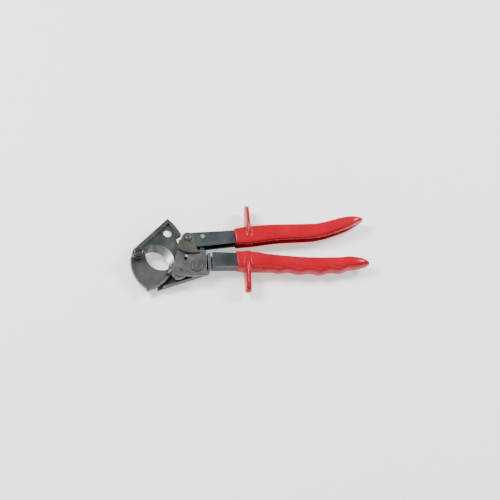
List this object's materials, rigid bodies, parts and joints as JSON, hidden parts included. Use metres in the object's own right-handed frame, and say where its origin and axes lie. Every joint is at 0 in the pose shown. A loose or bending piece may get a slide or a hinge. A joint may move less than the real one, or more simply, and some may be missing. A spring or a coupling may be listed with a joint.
{
  "type": "ratcheting cable cutter",
  "caption": "One-hand ratcheting cable cutter: toothed sickle blade closes on a hooked fixed jaw as a red-gripped lever is squeezed.",
  "frame": {"origin": "blade pivot axis, in the plane that the tool rests on (the back face of the pivot nut)", "axes": "+X towards the handles' ends, +Y towards the lever's side, +Z out of the front of the head"},
  "size_m": [0.2587, 0.1007, 0.0255],
  "materials": {
    "jaw_steel": "dark phosphated, ground bevel",
    "blade_steel": "dark phosphated",
    "tray_steel": "light grey, worn",
    "cover_steel": "dark phosphated",
    "lug_steel": "brownish grey, satin",
    "fastener_steel": "dark, oiled",
    "rivet_steel": "dark, shiny",
    "pawl_steel": "hardened, oiled",
    "spring_steel": "drawn wire",
    "bright_steel": "bright",
    "channel_steel": "dark phosphated",
    "red_vinyl": "dipped, glossy"
  },
  "bodies": {
    "frame": {"frame_tray": "tray_steel", "cover_plate": "cover_steel", "fixed_jaw": "jaw_steel", "blade_pivot_bolt": "fastener_steel", "blade_pivot_nut": "fastener_steel", "blade_pivot_washer": "fastener_steel", "frame_bolt": "fastener_steel", "frame_bolt_nut": "fastener_steel", "cover_pin": "fastener_steel", "pivot_lug_front": "lug_steel", "pivot_lug_back": "lug_steel", "lever_pivot_rivet": "rivet_steel", "handle_tang": "pawl_steel", "fixed_handle_channel": "channel_steel", "fixed_grip": "red_vinyl", "holding_pawl_pin": "fastener_steel", "holding_pawl_spring": "spring_steel", "return_spring": "spring_steel", "spring_seat": "fastener_steel"},
    "blade": {"moving_blade": "blade_steel"},
    "lever": {"lever_channel": "channel_steel", "lever_grip": "red_vinyl", "lever_arm": "pawl_steel", "lever_bush": "fastener_steel", "drive_pawl_pin": "fastener_steel", "drive_pawl_spring": "spring_steel", "spring_anchor_pin": "bright_steel"},
    "drive_pawl": {"drive_pawl": "pawl_steel"},
    "holding_pawl": {"holding_pawl": "pawl_steel"},
    "release": {"release_slide": "pawl_steel", "release_pin": "bright_steel"}
  },
  "joints": [
    {"name": "blade_swing", "type": "hinge", "parent": "frame", "child": "blade", "pos_m": [0, 0, 0.01065], "axis": [0, 0, 1], "range_deg": [-95, 51]},
    {"name": "lever_squeeze", "type": "hinge", "parent": "frame", "child": "lever", "pos_m": [0.0546, 0.0158, 0.01275], "axis": [0, 0, 1], "range_deg": [0, 30], "deforming": ["return_spring"]},
    {"name": "drive_pawl_swing", "type": "hinge", "parent": "lever", "child": "drive_pawl", "pos_m": [0.0478, 0.0134, 0.0098], "axis": [0, 0, 1], "range_deg": [-36, 0]},
    {"name": "release_slide_travel", "type": "slide", "parent": "frame", "child": "release", "axis": [0.3665, 0.9304, 0], "range_m": [-0.003, 0]},
    {"name": "holding_pawl_swing", "type": "hinge", "parent": "frame", "child": "holding_pawl", "pos_m": [0.0451, -0.0204, 0.0098], "axis": [0, 0, 1], "range_deg": [-13, 0]}
  ],
  "couplings": [
    {"joint": "drive_pawl_swing", "follows": "lever_squeeze", "ratio": -1.17},
    {"joint": "holding_pawl_swing", "follows": "release_slide_travel", "rad_per_m": 70}
  ]
}
